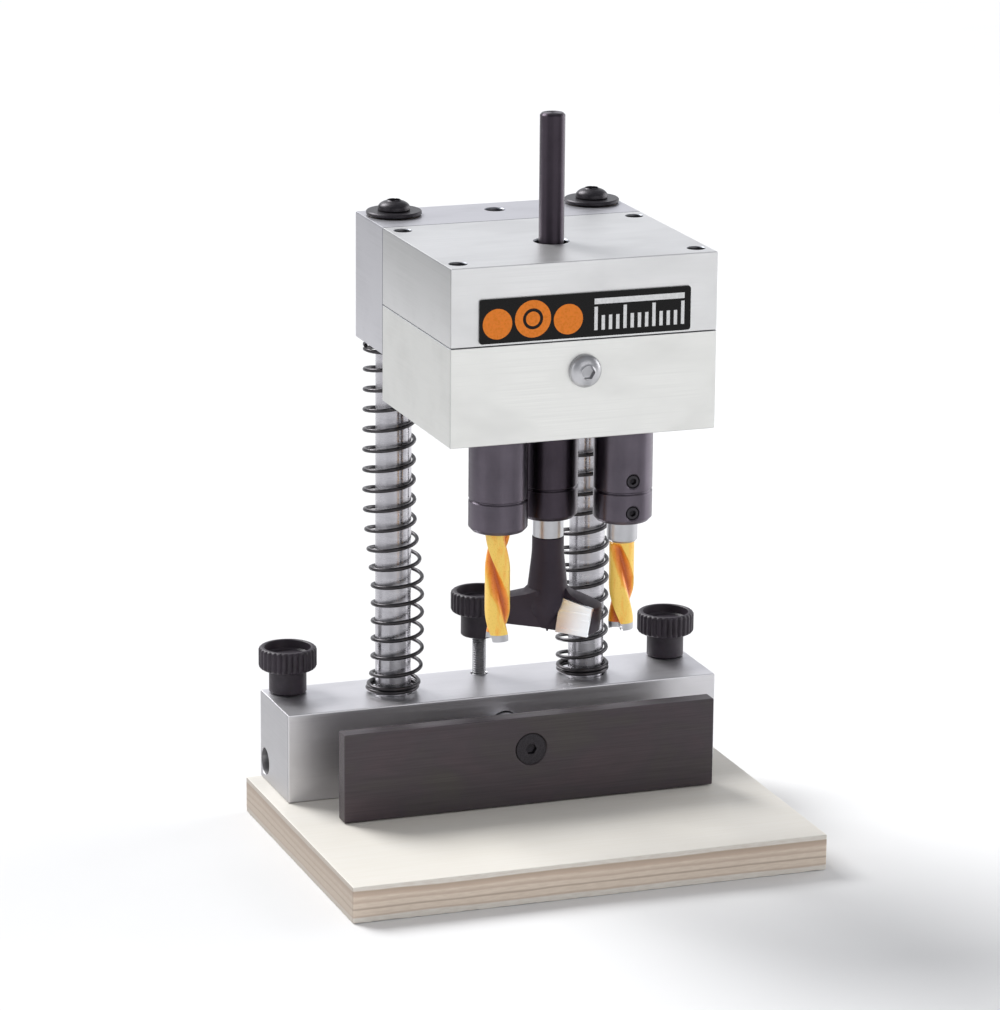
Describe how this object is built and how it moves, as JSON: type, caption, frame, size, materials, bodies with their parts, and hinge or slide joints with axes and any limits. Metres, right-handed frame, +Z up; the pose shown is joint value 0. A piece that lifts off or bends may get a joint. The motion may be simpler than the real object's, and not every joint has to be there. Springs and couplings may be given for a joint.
{
  "type": "three-spindle boring head on a column stand",
  "caption": "Drill-driven boring head on sprung guide columns, with fence and side-stop clamps on a plywood board, for hinge cups and dowel holes.",
  "frame": {"origin": "middle of the footprint at the underside of the board, the footprint running from the board's front edge to the end of the fence rod", "axes": "+Z up along the columns, +Y from the front edge to the columns, +X to the right seen from the front"},
  "size_m": [0.16, 0.122, 0.2433],
  "materials": {
    "milled_aluminium": "satin milled aluminium with fine tool marks and broken edges",
    "polished_steel": "ground and hard-chromed steel, bright",
    "bright_steel": "turned bright steel",
    "gunmetal_steel": "burnished dark gunmetal steel, satin",
    "burnished_plate": "dark brown-black burnished steel plate, satin",
    "black_oxide": "black oxide steel, semi-matt",
    "spring_steel": "oil-tempered dark spring wire",
    "black_plastic": "moulded matt black plastic",
    "orange_coating": "orange slip coating over ground steel",
    "cutter_black": "black coated cutter body with bright ground faces",
    "bronze": "turned bronze",
    "label": null,
    "birch_plywood": "birch plywood with pale face veneer and visible plies"
  },
  "bodies": {
    "stand": {"plywood_board": "birch_plywood", "base_block": "milled_aluminium", "left_column": "polished_steel", "left_column_bolt": "black_oxide", "left_column_washer": "black_oxide", "left_column_screw": "black_oxide", "left_spring": "spring_steel", "right_column": "polished_steel", "right_column_bolt": "black_oxide", "right_column_washer": "black_oxide", "right_column_screw": "black_oxide", "right_spring": "spring_steel"},
    "head": {"lower_housing": "milled_aluminium", "upper_housing": "milled_aluminium", "guide_block": "milled_aluminium", "grease_plug_screw": "bright_steel", "label_plate": "label", "depth_stop_screw": "black_oxide", "front_left_cover_screw": "black_oxide", "front_right_cover_screw": "black_oxide", "rear_left_cover_screw": "black_oxide", "rear_right_cover_screw": "black_oxide", "left_guide_bolt": "black_oxide", "left_guide_bush": "bronze", "right_guide_bolt": "black_oxide", "right_guide_bush": "bronze", "drive_lower_bearing": "bright_steel", "drive_upper_bearing": "bright_steel", "left_lower_bearing": "bright_steel", "left_upper_bearing": "bright_steel", "right_lower_bearing": "bright_steel", "right_upper_bearing": "bright_steel"},
    "drive_spindle_set": {"drive_spindle": "gunmetal_steel", "drive_gear": "bright_steel", "hinge_cutter": "cutter_black", "drive_lower_set_screw": "black_oxide", "drive_upper_set_screw": "black_oxide"},
    "left_spindle_set": {"left_spindle": "gunmetal_steel", "left_gear": "bright_steel", "left_drill": "orange_coating", "left_lower_set_screw": "black_oxide", "left_upper_set_screw": "black_oxide"},
    "right_spindle_set": {"right_spindle": "gunmetal_steel", "right_gear": "bright_steel", "right_drill": "orange_coating", "right_lower_set_screw": "black_oxide", "right_upper_set_screw": "black_oxide"},
    "fence": {"fence_plate": "burnished_plate", "fence_rod": "bright_steel", "fence_screw": "black_oxide"},
    "left_pad_set": {"left_clamp_pad": "bronze"},
    "left_knob_set": {"left_knob": "black_plastic", "left_knob_stud": "bright_steel"},
    "right_pad_set": {"right_clamp_pad": "bronze"},
    "right_knob_set": {"right_knob": "black_plastic", "right_knob_stud": "bright_steel"},
    "fence_pad_set": {"fence_clamp_pad": "bronze"},
    "fence_knob_set": {"fence_knob": "black_plastic", "fence_knob_stud": "bright_steel"}
  },
  "joints": [
    {"name": "head_slide", "type": "slide", "parent": "stand", "child": "head", "axis": [0, 0, -1], "range_m": [0, 0.058], "stiffness_N_per_m": 1200, "springref_m": -0.026, "deforming": ["left_spring", "right_spring"]},
    {"name": "drive_spin", "type": "hinge", "parent": "head", "child": "drive_spindle_set", "pos_m": [0, -0.016, 0.132], "axis": [0, 0, 1], "continuous": true},
    {"name": "left_spin", "type": "hinge", "parent": "head", "child": "left_spindle_set", "pos_m": [-0.021, -0.027, 0.132], "axis": [0, 0, 1], "continuous": true},
    {"name": "right_spin", "type": "hinge", "parent": "head", "child": "right_spindle_set", "pos_m": [0.021, -0.027, 0.132], "axis": [0, 0, 1], "continuous": true},
    {"name": "fence_slide", "type": "slide", "parent": "stand", "child": "fence", "axis": [0, 1, 0], "range_m": [-0.01, 0.0194]},
    {"name": "left_clamp_feed", "type": "slide", "parent": "stand", "child": "left_pad_set", "axis": [0, 0, 1], "range_m": [0, 0.0016]},
    {"name": "left_knob_turn", "type": "hinge", "parent": "left_pad_set", "child": "left_knob_set", "pos_m": [-0.067, 0.0488, 0.05], "axis": [0, 0, 1], "range_deg": [0, 720.1]},
    {"name": "right_clamp_feed", "type": "slide", "parent": "stand", "child": "right_pad_set", "axis": [0, 0, 1], "range_m": [0, 0.0016]},
    {"name": "right_knob_turn", "type": "hinge", "parent": "right_pad_set", "child": "right_knob_set", "pos_m": [0.067, 0.0488, 0.05], "axis": [0, 0, 1], "range_deg": [0, 720.1]},
    {"name": "fence_clamp_feed", "type": "slide", "parent": "stand", "child": "fence_pad_set", "axis": [0, 0, 1], "range_m": [0, 0.0016]},
    {"name": "fence_knob_turn", "type": "hinge", "parent": "fence_pad_set", "child": "fence_knob_set", "pos_m": [0, 0.0488, 0.063], "axis": [0, 0, 1], "range_deg": [0, 720.1]}
  ],
  "couplings": [
    {"joint": "left_spin", "follows": "drive_spin", "ratio": -1},
    {"joint": "right_spin", "follows": "drive_spin", "ratio": -1},
    {"joint": "left_knob_turn", "follows": "left_clamp_feed", "rad_per_m": 7854},
    {"joint": "right_knob_turn", "follows": "right_clamp_feed", "rad_per_m": 7854},
    {"joint": "fence_knob_turn", "follows": "fence_clamp_feed", "rad_per_m": 7854}
  ]
}
